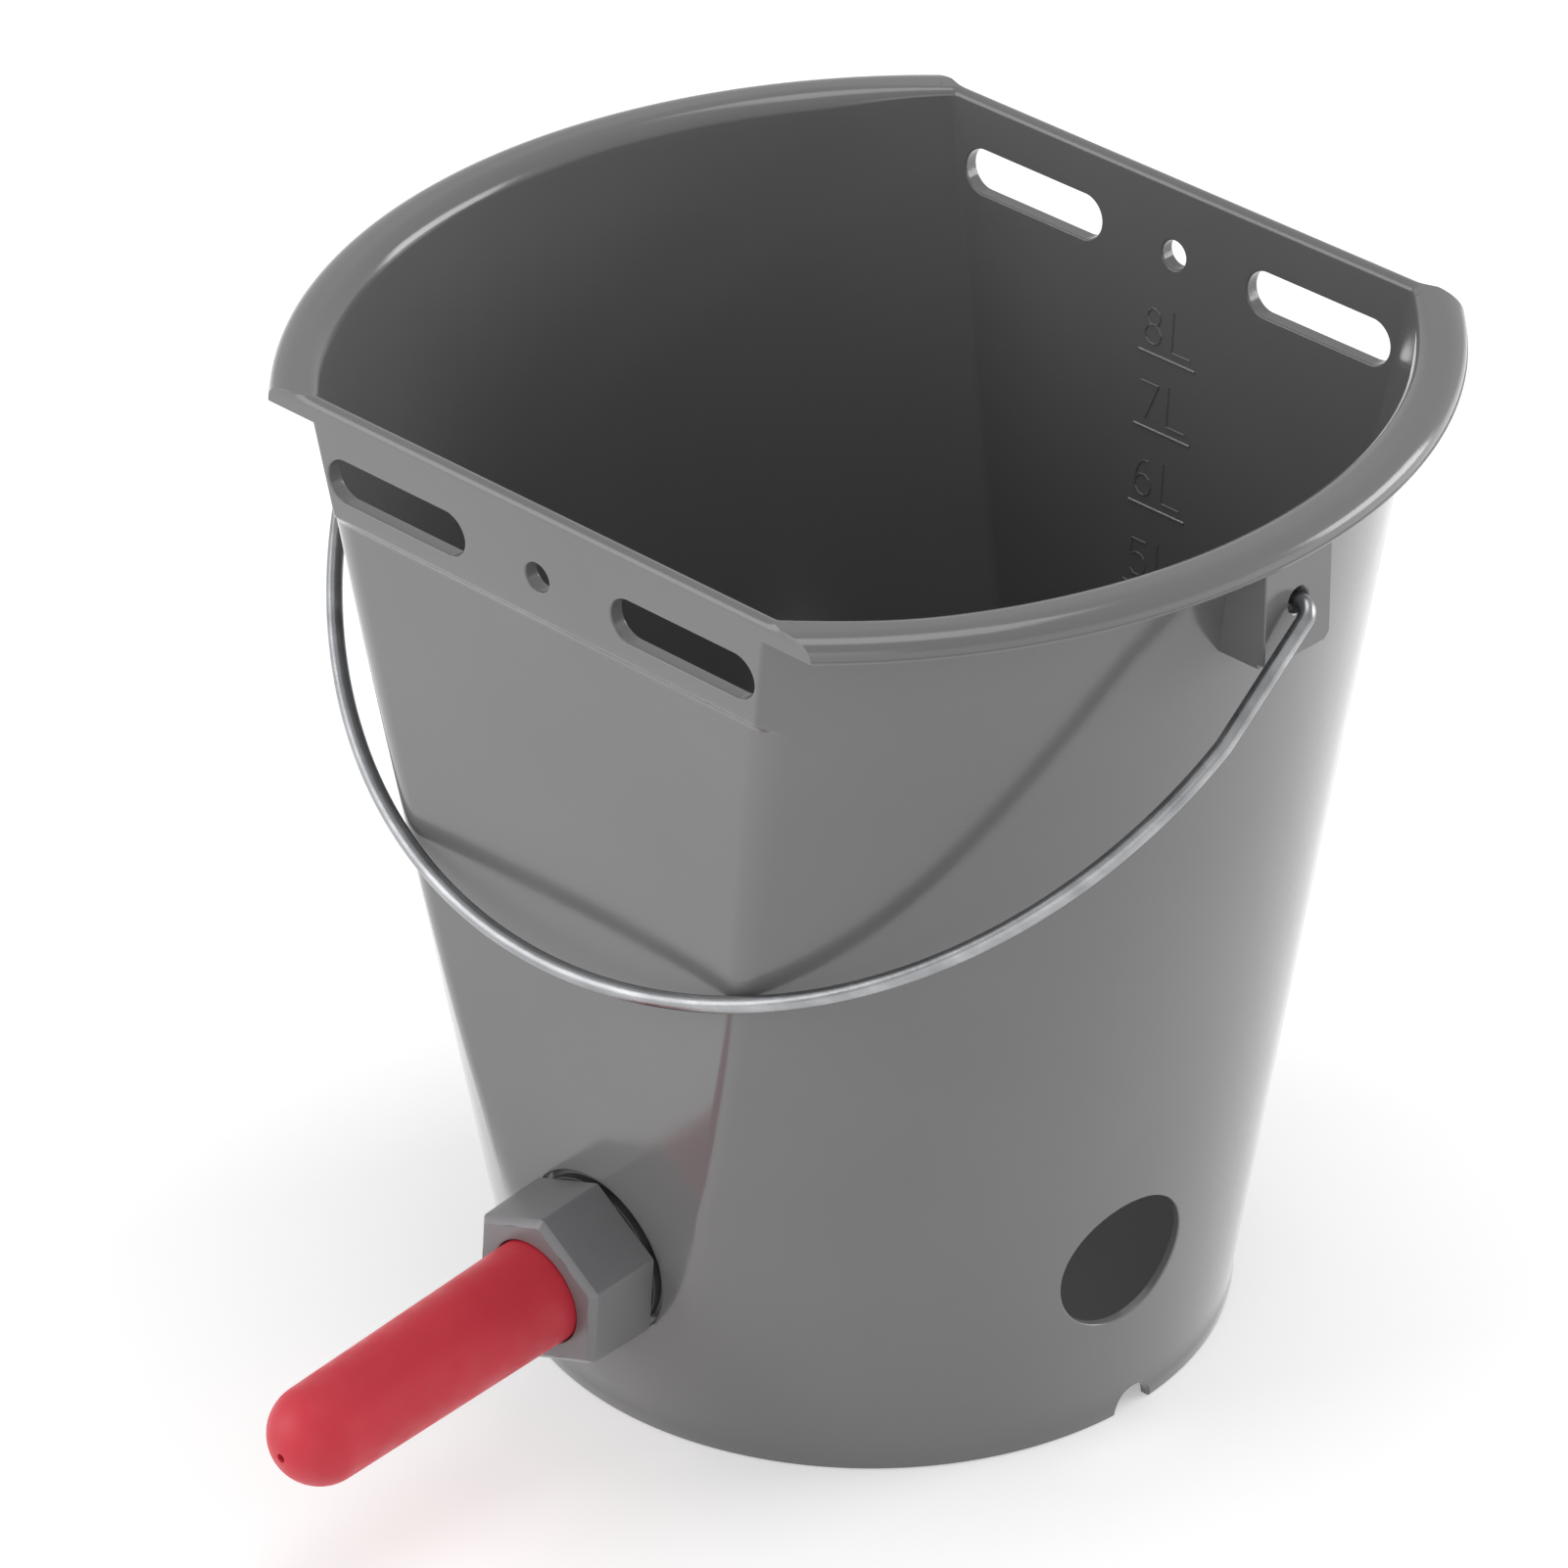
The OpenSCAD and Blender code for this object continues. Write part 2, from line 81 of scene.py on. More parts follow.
def ramp(tree, factor, stops):
    """Colours or greys against a factor; a stop is (place, grey) or (place, red, green, blue)."""
    node = tree.nodes.new("ShaderNodeValToRGB")
    elements = node.color_ramp.elements
    while len(elements) < len(stops):
        elements.new(0.5)
    for element, stop in zip(elements, stops):
        element.position = stop[0]
        colour = stop[1:] if len(stop) == 4 else (stop[1],) * 3
        element.color = (*colour, 1)
    tree.links.new(factor, node.inputs["Fac"])
    return node.outputs["Color"]


def vary(tree, shader, socket, factor, *stops):
    tree.links.new(ramp(tree, factor, stops), shader.inputs[socket])


def bumped(tree, shader, height, distance, strength=1.0, under=None):
    node = tree.nodes.new("ShaderNodeBump")
    node.inputs["Strength"].default_value = strength
    node.inputs["Distance"].default_value = distance
    tree.links.new(height, node.inputs["Height"])
    if under is not None:
        tree.links.new(under, node.inputs["Normal"])
    tree.links.new(node.outputs["Normal"], shader.inputs["Normal"])
    return node.outputs["Normal"]


def lamp(name, place, aim, size, watts):
    light = bpy.data.lights.new(name, "AREA")
    light.shape = "RECTANGLE"
    light.size, light.size_y = size
    light.energy = watts
    stand = bpy.data.objects.new(name, light)
    bpy.context.scene.collection.objects.link(stand)
    stand.location = place
    stand.rotation_euler = (Vector(aim) - Vector(place)).to_track_quat("-Z", "Y").to_euler()


bucket_middle = (0, 0, 0.12)
lamp("key_lamp", (-1.3, -1.6, 0.8), bucket_middle, (1.8, 1.5), 19)
lamp("front_lamp", (1.2, -1.9, 0.6), bucket_middle, (2.0, 1.2), 7)
lamp("side_lamp", (1.1, 1.8, 0.6), bucket_middle, (1.2, 1.0), 22)
lamp("top_lamp", (0.1, 0.1, 2.4), (0, 0, 0.2), (1.2, 1.2), 11)

world = bpy.data.worlds.new("room")
bpy.context.scene.world = world
world.use_nodes = True
room = world.node_tree
soft_light = room.nodes["Background"]
soft_light.inputs["Color"].default_value = (1, 1, 1, 1)
soft_light.inputs["Strength"].default_value = 0.5
backdrop = room.nodes.new("ShaderNodeBackground")
backdrop.inputs["Strength"].default_value = 1.0
rays = room.nodes.new("ShaderNodeLightPath")
seen = room.nodes.new("ShaderNodeMath")
seen.operation = "MAXIMUM"
mirrored = room.nodes.new("ShaderNodeMath")
mirrored.operation = "MAXIMUM"
choice = room.nodes.new("ShaderNodeMixShader")
room.links.new(rays.outputs["Is Camera Ray"], seen.inputs[0])
room.links.new(rays.outputs["Is Transmission Ray"], seen.inputs[1])
room.links.new(seen.outputs[0], mirrored.inputs[0])
room.links.new(rays.outputs["Is Glossy Ray"], mirrored.inputs[1])
room.links.new(mirrored.outputs[0], choice.inputs[0])
room.links.new(soft_light.outputs[0], choice.inputs[1])
room.links.new(backdrop.outputs[0], choice.inputs[2])
room.links.new(choice.outputs[0], room.nodes["World Output"].inputs["Surface"])

bpy.ops.mesh.primitive_grid_add(x_subdivisions=4, y_subdivisions=4, size=24)
floor = bpy.context.object
floor.name = "floor"
floor.location.z = -0.0002
paper = bpy.data.materials.new("white_paper")
paper.use_nodes = True
tree = paper.node_tree
sheet_shader = tree.nodes["Principled BSDF"]
sheet_shader.inputs["Base Color"].default_value = (0.86, 0.86, 0.86, 1)
sheet_shader.inputs["Roughness"].default_value = 0.9
sheet_shader.inputs["Specular IOR Level"].default_value = 0.1
sheet_shader.inputs["Emission Color"].default_value = (1, 1, 1, 1)
rays = tree.nodes.new("ShaderNodeLightPath")
spot = tree.nodes.new("ShaderNodeTexCoord")
reach = tree.nodes.new("ShaderNodeVectorMath")
reach.operation = "LENGTH"
tree.links.new(spot.outputs["Object"], reach.inputs[0])
paler = tree.nodes.new("ShaderNodeMapRange")
for socket, value in (("From Min", 0.8), ("From Max", 3.0), ("To Min", 0.36), ("To Max", 0.62)):
    paler.inputs[socket].default_value = value
tree.links.new(reach.outputs["Value"], paler.inputs["Value"])
lift = tree.nodes.new("ShaderNodeMath")
lift.operation = "MULTIPLY"
tree.links.new(paler.outputs["Result"], lift.inputs[1])
tree.links.new(rays.outputs["Is Camera Ray"], lift.inputs[0])
sheen = tree.nodes.new("ShaderNodeMath")
sheen.operation = "MULTIPLY_ADD"
sheen.inputs[1].default_value = 0.62
tree.links.new(rays.outputs["Is Glossy Ray"], sheen.inputs[0])
tree.links.new(lift.outputs[0], sheen.inputs[2])
tree.links.new(sheen.outputs[0], sheet_shader.inputs["Emission Strength"])
floor.data.materials.append(paper)


# Bucket: one moulding in grey polypropylene. Its wall, foot, floor, hanging bands and rolled lip
# come out of the mould as one skin, so they are one mesh here: rows of points from the middle of
# the floor, up the inside, over the lip and down the outside to the foot. Millimetres.
rim, wall = 277.4, 2.5
foot_radius, rim_radius, rim_centre, rim_depth = 95.3, 157.2, -24.5, 117
lean_angle = math.radians(4)
lean, wall_across = math.tan(lean_angle), wall / math.cos(lean_angle)
band_proud, band_corner = 1.7, 2.0
lip_low, lip_radius, lip_centre, lip_wall = 271.4, 164.5, -20.9, 2.2
inner_floor, floor_fillet, under_floor, foot_fillet = 18.5, 7.0, 15.5, 2.0
flat_steps, corner_steps, round_steps = 14, 8, 42


def plan_at(z):
    """Radius and centre of the round side, and depth of the flat side, at a height."""
    t = z / rim
    return foot_radius + (rim_radius - foot_radius) * t, rim_centre * t, rim_depth - (rim - z) * lean


def corner_at(z, inset):
    """The corner between flat and round is soft outside and tightens towards the rim inside."""
    soft = 8 + 10 * z / rim
    tight = 2 + 0.035 * (rim - z)
    return soft if inset <= 0 else inset + min(soft, tight)


def wall_quarter(z, inset, proud=0.0, corner=None):
    """The wall's section at a height, from the middle of a flat side to the middle of a round one."""
    sparse_below = 80.0
    high = max(z, sparse_below)
    if corner is None:
        corner = corner_at(high, inset)

    def section(at):
        radius, centre, depth = plan_at(at)
        radius, depth = radius - inset, depth - inset / math.cos(lean_angle) + proud
        bend = max(corner - inset, 0.6)
        reach = (radius - bend) ** 2 - (depth - bend) ** 2
        edge = centre + math.sqrt(max(reach, 0.0))
        return radius, centre, depth, bend, edge

    radius, centre, depth, bend, edge = section(high)
    start = math.atan2(depth - bend, edge - centre)
    points = [(edge * i / flat_steps, depth) for i in range(flat_steps + 1)]
    for i in range(1, corner_steps + 1):
        turn = math.pi / 2 + (start - math.pi / 2) * i / (corner_steps + 1)
        points.append((edge + bend * math.cos(turn), depth - bend + bend * math.sin(turn)))
    low_edge = math.asin((min(radius * math.sin(start), depth - 0.4) - 1.8) / radius)
    turns = [start, low_edge, low_edge]
    turns += [low_edge * (1 - i / (round_steps - 2)) for i in range(1, round_steps - 1)]
    points += [(centre + radius * math.cos(t), radius * math.sin(t)) for t in turns]
    if z < high:
        points = [wall_hit(math.atan2(y, x), section(z)) for x, y in points]
    return [(x, y, z) for x, y in points]


def wall_hit(turn, at):
    """Where a line from the middle in a given direction meets a section of the wall."""
    radius, centre, depth, bend, edge = at
    along, across = math.cos(turn), math.sin(turn)
    if edge > 0 and across > 0:
        if along * depth / across <= edge:
            return along * depth / across, depth
        middle = edge * along + (depth - bend) * across
        left = middle ** 2 - edge ** 2 - (depth - bend) ** 2 + bend ** 2
        if left >= 0:
            reach = middle + math.sqrt(left)
            x, y = reach * along, reach * across
            if y > radius * math.sin(math.atan2(depth - bend, edge - centre)):
                return x, y
    reach = centre * along + math.sqrt(radius ** 2 - (centre * across) ** 2)
    return reach * along, reach * across


def flat_face(z, proud):
    return rim_depth - (rim - z) * lean + proud


def mixed(a, b, share):
    return tuple(p + (q - p) * share for p, q in zip(a, b))


def lip_quarter(radius, z, flat_in, flat_z):
    """A row of the lip: straight over the flat side to the lip's cut end, then round the lip."""
    face = flat_face(flat_z, band_proud) - flat_in
    band = wall_quarter(flat_z, 0, band_proud, band_corner)[:flat_steps + 1]
    row = [(x, face, flat_z) for x, _, _ in band]
    band_end = row[-1]
    face = flat_face(z, band_proud)
    start = math.asin((face - lip_wall) / radius)
    turns = [math.asin((face - 0.35) / radius), start, start]
    lip_end = (radius * math.cos(turns[0]) + lip_centre - 0.35, face, z)
    row += [mixed(band_end, lip_end, i / 8) for i in range(1, 9)]
    turns += [start * (1 - i / (round_steps - 2)) for i in range(1, round_steps - 1)]
    row += [(radius * math.cos(t) + lip_centre, radius * math.sin(t), z) for t in turns]
    return row


def scaled(row, share, z):
    return [(x * share, y * share, z) for x, y, _ in row]


rows = []
bottom = wall_quarter(inner_floor, wall + floor_fillet)
rows += [scaled(bottom, share, inner_floor) for share in (0.0, 0.12, 0.4, 0.7)] + [bottom]
for i in range(1, 7):
    turn = math.radians(15 * i)
    rows.append(wall_quarter(inner_floor + floor_fillet * (1 - math.cos(turn)),
                             wall + floor_fillet * (1 - math.sin(turn))))
rows += [wall_quarter(z, wall) for z in range(30, 271, 8)]

# The rim's inner edge is rounder on the round sides than on the flat ones
flat_rounding, round_rounding = 2.0, 4.6
round_share = [0.0] * (flat_steps + corner_steps + 1)
round_share += [0.5 - 0.5 * math.cos(math.pi * min(i / 14, 1)) for i in range(round_steps + 1)]
for i in range(9):
    turn = math.radians(11.25 * i)
    tight, wide = [wall_quarter(rim - bend * (1 - math.sin(turn)), wall - bend * (1 - math.cos(turn)), 0,
                                wall - bend * (1 - math.cos(turn)) + 3)
                   for bend in (flat_rounding, round_rounding)]
    rows.append([mixed(a, b, share) for a, b, share in zip(tight, wide, round_share)])

# The lip's broad outer shoulder, and the fine bead along its lower edge
shoulder_across, shoulder_down, band_rounding = 6, 4, 2.2
for i in range(9):
    turn = math.radians(11.25 * i)
    inward, down = 1 - math.sin(turn), 1 - math.cos(turn)
    rows.append(lip_quarter(lip_radius - shoulder_across * inward, rim - shoulder_down * down,
                            band_rounding * inward, rim - band_rounding * down))
rows += [lip_quarter(lip_radius + bead, lip_low + up, 0, lip_low + up)
         for bead, up in ((0, 0.9), (0.22, 0.7), (0.28, 0.4), (0.1, 0))]

# Under the lip the moulding is hollow: a channel that two webs close at the lip's ends
web = flat_steps + corner_steps + 2
low_edge, low_wall = rows[-1], wall_quarter(lip_low, 0, band_proud, band_corner)
deep, channel_radius = rim - lip_wall, lip_radius - lip_wall
for ring, share in ((lip_quarter(channel_radius, lip_low, 0, lip_low), 0.12),
                    (lip_quarter(channel_radius, deep, 0, deep), 0.12),
                    (wall_quarter(deep, 0, band_proud, band_corner), 1.0)):
    row = low_edge[:flat_steps + 1]
    row += [mixed(low_edge[i], low_wall[i], share) for i in range(flat_steps + 1, web)]
    rows.append(row + [(ring[web][0], ring[web][1], lip_low)] + ring[web + 1:])
rows.append(low_wall)

# Below the slots the band runs out in a sloping ledge, where its corner softens into the wall's
slot_z = 257.6
rows += [wall_quarter(z, 0, band_proud, band_corner) for z in (264.0, slot_z, 251.2, 246.3)]
for z, proud, corner in ((245.6, 1.56, 2.2), (245.0, 1.2, 3.5), (244.5, 0.78, 6.0), (243.9, 0.36, 10.0),
                         (243.2, 0.1, 14.0), (242.4, 0.0, 16.8)):
    rows.append(wall_quarter(z, 0, proud, corner))
rows += [wall_quarter(z, 0) for z in range(236, 11, -8)]

# The foot: a soft bead outside, a rounded edge on the ground, and the hollow under the floor
rows += [wall_quarter(z, inset) for z, inset in (
    (9, 0), (6, -0.06), (4, -0.36), (3, -0.56), (0.5, -0.6), (0.15, -0.45), (0, -0.1), (0, wall - 0.4),
    (0.4, wall), (under_floor - foot_fillet, wall))]
for i in range(1, 4):
    turn = math.radians(30 * i)
    rows.append(wall_quarter(under_floor - foot_fillet * (1 - math.sin(turn)),
                             wall + foot_fillet * (1 - math.cos(turn))))
bottom = rows[-1]
rows += [scaled(bottom, share, under_floor) for share in (0.7, 0.4, 0.12, 0.0)]


def all_round(row):
    """A full ring from one quarter of it."""
    front = [(x, -y, z) for x, y, z in row[-2::-1]]
    left = [(-x, -y, z) for x, y, z in row[1:]]
    return row + front + left + [(-x, y, z) for x, y, z in row[-2:0:-1]]


def add_piece(name, points, faces, sharp=28):
    """A closed mesh from points in millimetres, smooth but for its edges."""
    mesh = bpy.data.meshes.new(name)
    mesh.from_pydata([Vector(p) * 0.001 for p in points], [], faces)
    work = bmesh.new()
    work.from_mesh(mesh)
    bmesh.ops.remove_doubles(work, verts=work.verts, dist=3e-6)
    bmesh.ops.dissolve_degenerate(work, edges=work.edges, dist=1e-6)
    bmesh.ops.recalc_face_normals(work, faces=work.faces)
    work.to_mesh(mesh)
    work.free()
    mesh.shade_smooth()
    mesh.set_sharp_from_angle(angle=math.radians(sharp))
    piece = bpy.data.objects.new(name, mesh)
    bpy.context.scene.collection.objects.link(piece)
    return piece


def skin(rings, closed=False):
    """Faces between rings of the same length; closed joins the last ring to the first."""
    count, around = len(rings), len(rings[0])
    faces = []
    for i in range(count if closed else count - 1):
        a, b = i * around, ((i + 1) % count) * around
        for j in range(around):
            k = (j + 1) % around
            faces.append((a + j, a + k, b + k, b + j))
    points = [p for ring in rings for p in ring]
    if not closed:
        last = (count - 1) * around
        faces += [tuple(range(around - 1, -1, -1)), tuple(range(last, last + around))]
    return points, faces


rings = [all_round(row) for row in rows]
points, faces = skin(rings)
bucket = add_piece("bucket", points, faces[:-2])


def cut(piece, cutter):
    tool = piece.modifiers.new("cut", "BOOLEAN")
    tool.operation = "DIFFERENCE"
    tool.solver = "EXACT"
    tool.object = cutter
    bpy.context.view_layer.objects.active = piece
    bpy.ops.object.modifier_apply(modifier="cut")
    bpy.data.objects.remove(cutter)


# Holes for hanging: two long slots and a peg hole through each band, with rims rounded by the mould
def hanging_cut(name, centre_x, half_straight, radius, side):
    rounding = 0.55
    outline = []
    for i in range(48):
        turn = 2 * math.pi * (i + 0.5) / 48
        outline.append((math.copysign(half_straight, math.cos(turn)), math.cos(turn), math.sin(turn)))
    steps = [(rounding + 0.9, 3.0, 0), (rounding + 0.12, 0.03, 0)]
    steps += [(rounding * (1 - math.sin(a)), -rounding * (1 - math.cos(a)), 0)
              for a in map(math.radians, (18, 36, 54, 72, 90))]
    steps += [(rounding * (1 - math.sin(a)), rounding * (1 - math.cos(a)), 1)
              for a in map(math.radians, (90, 72, 54, 36, 18))]
    steps += [(rounding + 0.12, -0.03, 1), (rounding + 0.9, -3.0, 1)]
    rings = []
    for grown, step, inside in steps:
        ring = []
        for shift, along, across in outline:
            x = centre_x + shift + (radius + grown) * along
            z = slot_z + (radius + grown) * across
            face = flat_face(z, -wall_across if inside else band_proud)
            ring.append((x, side * (face + step), z))
        rings.append(ring)
    return add_piece(name, *skin(rings))


slot_x, slot_half_straight, slot_radius, peg_radius = 49.46, 17.86, 6.3, 4.05
for side in (-1, 1):
    for centre_x, half, radius in ((-slot_x, slot_half_straight, slot_radius),
                                   (slot_x, slot_half_straight, slot_radius), (0, 0, peg_radius)):
        cut(bucket, hanging_cut("hole_cut", centre_x, half, radius, side))

# Valve hole with the round recess for the outer gasket, low on the front flat side
valve_z, valve_hole, recess_radius, recess_back = 52.2, 19.6, 23.2, -1.6
along = Vector((0, -math.cos(lean_angle), -math.sin(lean_angle)))
above = Vector((0, -math.sin(lean_angle), math.cos(lean_angle)))
wall_point = Vector((0, -flat_face(valve_z, 0), valve_z))


def on_axis(radius, turn, s):
    """A point by its distance from the valve's axis, its turn and its place along the axis."""
    sideward = Vector((1, 0, 0)) * radius * math.cos(turn)
    return wall_point + along * s + sideward + above * radius * math.sin(turn)


def turned(profile, steps=96, closed=True):
    """Rings round the valve's axis for a profile of (radius, place along the axis)."""
    rings = [[on_axis(r, 2 * math.pi * j / steps, s) for j in range(steps)] for r, s in profile]
    return skin(rings, closed)


cut(bucket, add_piece("hole_cut", *turned(
    [(recess_radius + 1, 3.0), (recess_radius + 0.55, 0.03), (recess_radius + 0.25, -0.12),
     (recess_radius + 0.05, -0.35), (recess_radius, -0.6), (recess_radius, recess_back),
     (valve_hole + 0.3, recess_back), (valve_hole + 0.08, recess_back - 0.12),
     (valve_hole, recess_back - 0.4), (valve_hole, -6.0)], closed=False)))

# Spare hole for a second valve on the +X side, its rim following the round wall
spare_z, spare_turn, side_flare = 53.4, math.radians(-7.1), 37.4 / rim
out = Vector((math.cos(spare_turn), math.sin(spare_turn), 0))
tilt = math.atan(side_flare)
axis = Vector((out.x * math.cos(tilt), out.y * math.cos(tilt), -math.sin(tilt)))
sideways = Vector((-out.y, out.x, 0))
upwards = sideways.cross(axis) * -1
hole_middle = out * (foot_radius + spare_z * side_flare) + Vector((0, 0, spare_z))


def on_wall(point, inset):
    """Slides a point along the hole's axis onto the round wall."""
    for _ in range(12):
        radius, centre, _ = plan_at(point.z)
        point = point - axis * (math.hypot(point.x - centre, point.y) - radius + inset)
    return point


rings = []
edge = ((1.3, 3.0), (0.6, 0.03), (0.36, -0.05), (0.2, -0.14), (0.08, -0.28), (0, -0.5))
for grown, step, inset in ([(grown, step, 0) for grown, step in edge]
                           + [(grown, -step, wall) for grown, step in reversed(edge)]):
    ring = []
    for j in range(96):
        turn = 2 * math.pi * j / 96
        spoke = sideways * math.cos(turn) + upwards * math.sin(turn)
        ring.append(on_wall(hole_middle + spoke * (valve_hole + grown), inset) + axis * step)
    rings.append(ring)
cut(bucket, add_piece("hole_cut", *skin(rings)))

# Drain notch in the foot on the same side
notch_y, notch_radius = -2.2, 6.5
turns = [2 * math.pi * (j + 0.5) / 64 for j in range(64)]
rings = [[(x, notch_y + (notch_radius + grown) * math.cos(t), (notch_radius + grown) * math.sin(t))
          for t in turns]
         for x, grown in ((84, 0.6), (92.4, 0.35), (93.0, 0), (95.4, 0), (96.0, 0.4), (99, 0.8))]
cut(bucket, add_piece("hole_cut", *skin(rings)))

# Boss that backs the thinned wall behind the recess
boss_radius, boss_back = 27.0, -4.0
boss = add_piece("boss", *turned([
    (19.66, -1.8), (19.66, -3.7), (19.9, boss_back), (boss_radius - 0.4, boss_back),
    (boss_radius, -3.6), (boss_radius, -2.0), (boss_radius - 1, -1.8)]))

# Ears: a plate under each lip on two webs, open below, with a round hole for the wire's end
pivot_z, ear_hole, ear_back, ear_face = 259.3, 3.6, 140.0, 142.5
ear_half, ear_web, ear_low = 12, 2.5, 244.0
ear_parts = []
for side in (-1, 1):
    steps = 48
    loops = []
    for x, grown, hole in ((ear_back, -0.3, ear_hole + 0.35), (ear_back + 0.3, 0.0, ear_hole),
                           (ear_face - 0.3, 0.0, ear_hole), (ear_face, -0.3, ear_hole + 0.35)):
        edge, bore = [], []
        for j in range(steps):
            turn = 2 * math.pi * (j + 0.5) / steps
            dy, dz = math.cos(turn), math.sin(turn)
            half, low, high = ear_half + grown, pivot_z - ear_low + grown, 14.8
            reach = min(half / abs(dy), (high if dz > 0 else low) / abs(dz))
            edge.append((side * x, dy * reach, pivot_z + dz * reach))
            bore.append((side * x, hole * dy, pivot_z + hole * dz))
        loops.append((edge, bore))
    rings = [loops[0][1], loops[0][0], loops[1][0], loops[2][0], loops[3][0], loops[3][1], loops[2][1],
             loops[1][1]]
    ear_parts.append(add_piece("ear_plate", *skin(rings, closed=True)))
    for y in (-ear_half, ear_half - ear_web):
        rings = []
        for z in (ear_low, ear_low + 0.3, 250, 256, 262, 268, 274.1):
            edge = 0.3 if z == ear_low else 0.0
            radius, centre, _ = plan_at(z)
            start, end = centre + math.sqrt(radius ** 2 - ear_half ** 2) - 1.3, ear_back + 0.3
            rings.append([(side * start, y + edge, z), (side * end, y + edge, z),
                          (side * end, y + ear_web - edge, z), (side * start, y + ear_web - edge, z)])
        ear_parts.append(add_piece("ear_web", *skin(rings)))

# Litre scale: raised bars with generic numbers inside the back flat side
def bow(x, y, wide, high, start, end):
    turns = [math.radians(start + (end - start) * i / 9) for i in range(10)]
    return [(x + wide * math.cos(t), y + high * math.sin(t)) for t in turns]


digit_strokes = {
    "1": [[(0.25, 0.78), (0.5, 1), (0.5, 0)]],
    "2": [bow(0.4, 0.72, 0.36, 0.28, 160, -30) + [(0.04, 0), (0.78, 0)]],
    "3": [bow(0.38, 0.76, 0.32, 0.24, 150, -90), bow(0.38, 0.27, 0.36, 0.27, 90, -150)],
    "4": [[(0.6, 0), (0.6, 1), (0.02, 0.3), (0.85, 0.3)]],
    "5": [[(0.72, 1), (0.12, 1), (0.09, 0.56)] + bow(0.4, 0.32, 0.36, 0.32, 130, -140)],
    "6": [bow(0.4, 0.3, 0.35, 0.3, 0, 360), bow(0.5, 0.36, 0.45, 0.64, 80, 185)],
    "7": [[(0.05, 1), (0.8, 1), (0.3, 0)]],
    "8": [bow(0.4, 0.76, 0.28, 0.24, -90, 270), bow(0.4, 0.27, 0.36, 0.27, 90, 450)],
    "L": [[(0.05, 1), (0.05, 0), (0.75, 0)]],
}


def raised_line(path, left, low, size, width):
    """A line of ribs on the inside of the back flat side."""
    points, faces = [], []
    spots = [Vector((left + size * 0.78 * a, low + size * b)) for a, b in path]
    for a, b in zip(spots, spots[1:]):
        way = (b - a).normalized()
        across = Vector((-way.y, way.x)) * width / 2
        a, b = a - way * width * 0.3, b + way * width * 0.3
        base = len(points)
        for height, share in ((-0.3, 1.0), (0.1, 1.0), (0.3, 0.4)):
            for spot, sign in ((a, -1), (b, -1), (b, 1), (a, 1)):
                p = spot + across * sign * share
                face = flat_face(p.y, -wall_across)
                points.append((p.x, face - height, p.y))
        for i in (0, 4):
            for j in range(4):
                k = (j + 1) % 4
                faces.append((base + i + j, base + i + k, base + i + 4 + k, base + i + 4 + j))
        faces += [(base + 3, base + 2, base + 1, base), tuple(base + 8 + j for j in range(4))]
    return points, faces


scale_parts = []
mark_length, digit_size, letter_size = 19, 10.2, 11.5
levels = (51.41, 81.54, 109.51, 135.71, 160.44, 183.91, 206.27, 227.67)
for litres, z in enumerate(levels, 1):
    strokes = [raised_line([(0, 0), (1 / 0.78, 0)], -9.3, z, mark_length, 0.9)]
    strokes += [raised_line(path, -8.2, z + 2.8, digit_size, 0.5) for path in digit_strokes[str(litres)]]
    strokes += [raised_line(path, 1.2, z + 2.6, letter_size, 0.5) for path in digit_strokes["L"]]
    for points, faces in strokes:
        scale_parts.append(add_piece("scale_mark", points, faces))

bpy.ops.object.select_all(action="DESELECT")
for part in [bucket, boss] + ear_parts + scale_parts:
    part.select_set(True)
bpy.context.view_layer.objects.active = bucket
bpy.ops.object.join()
bucket.data.shade_smooth()
bucket.data.set_sharp_from_angle(angle=math.radians(28))
even = bucket.modifiers.new("even_shading", "WEIGHTED_NORMAL")
even.keep_sharp = True
even.weight = 60

grey_plastic, tree, shader, place = new_finish("grey_polypropylene")
cloud = mottle(tree, place, 9, 3)
vary(tree, shader, "Base Color", cloud, (0.3, 0.144, 0.144, 0.146), (0.7, 0.164, 0.164, 0.166))
vary(tree, shader, "Roughness", mottle(tree, place, 26, 3), (0.3, 0.13), (0.7, 0.19))
shader.inputs["Specular IOR Level"].default_value = 0.62
grain = mottle(tree, place, 900, 2)
waves = bumped(tree, shader, mottle(tree, place, 16, 1), 0.0002, 0.4)
bumped(tree, shader, grain, 0.00003, 0.5, waves)
bucket.data.materials.clear()
bucket.data.materials.append(grey_plastic)
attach(bucket, "bucket")
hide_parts("bucket")


# Bail: one length of hot-dip galvanised wire, bent on a jig, its ends turned in through the ears.
# It hangs down at the front against the bucket's corners.
bail_tilt, wire_radius = math.radians(47.45), 2.2


def bail_path():
    """Middle line of the wire: a big arc, straight legs that lean in, and the turned-in ends."""
    drop, radius, kink = 14.981, 147.619, math.radians(80.242)
    bend, end = 4.0, Vector((143.114, -4.0))
    half = [Vector((radius * math.sin(kink * i / 60), -drop - radius * math.cos(kink * i / 60)))
            for i in range(61)]
    for i in range(11):
        turn = math.radians(-2.6 + 92.6 * i / 10)
        half.append(end + Vector((bend * math.cos(turn), bend * math.sin(turn))))
    half += [Vector((139.6, 0)), Vector((136.0, 0))]
    flat = [Vector((-p.x, p.y)) for p in half[:0:-1]] + half
    return [Vector((p.x, p.y * math.sin(bail_tilt), pivot_z + p.y * math.cos(bail_tilt))) for p in flat]


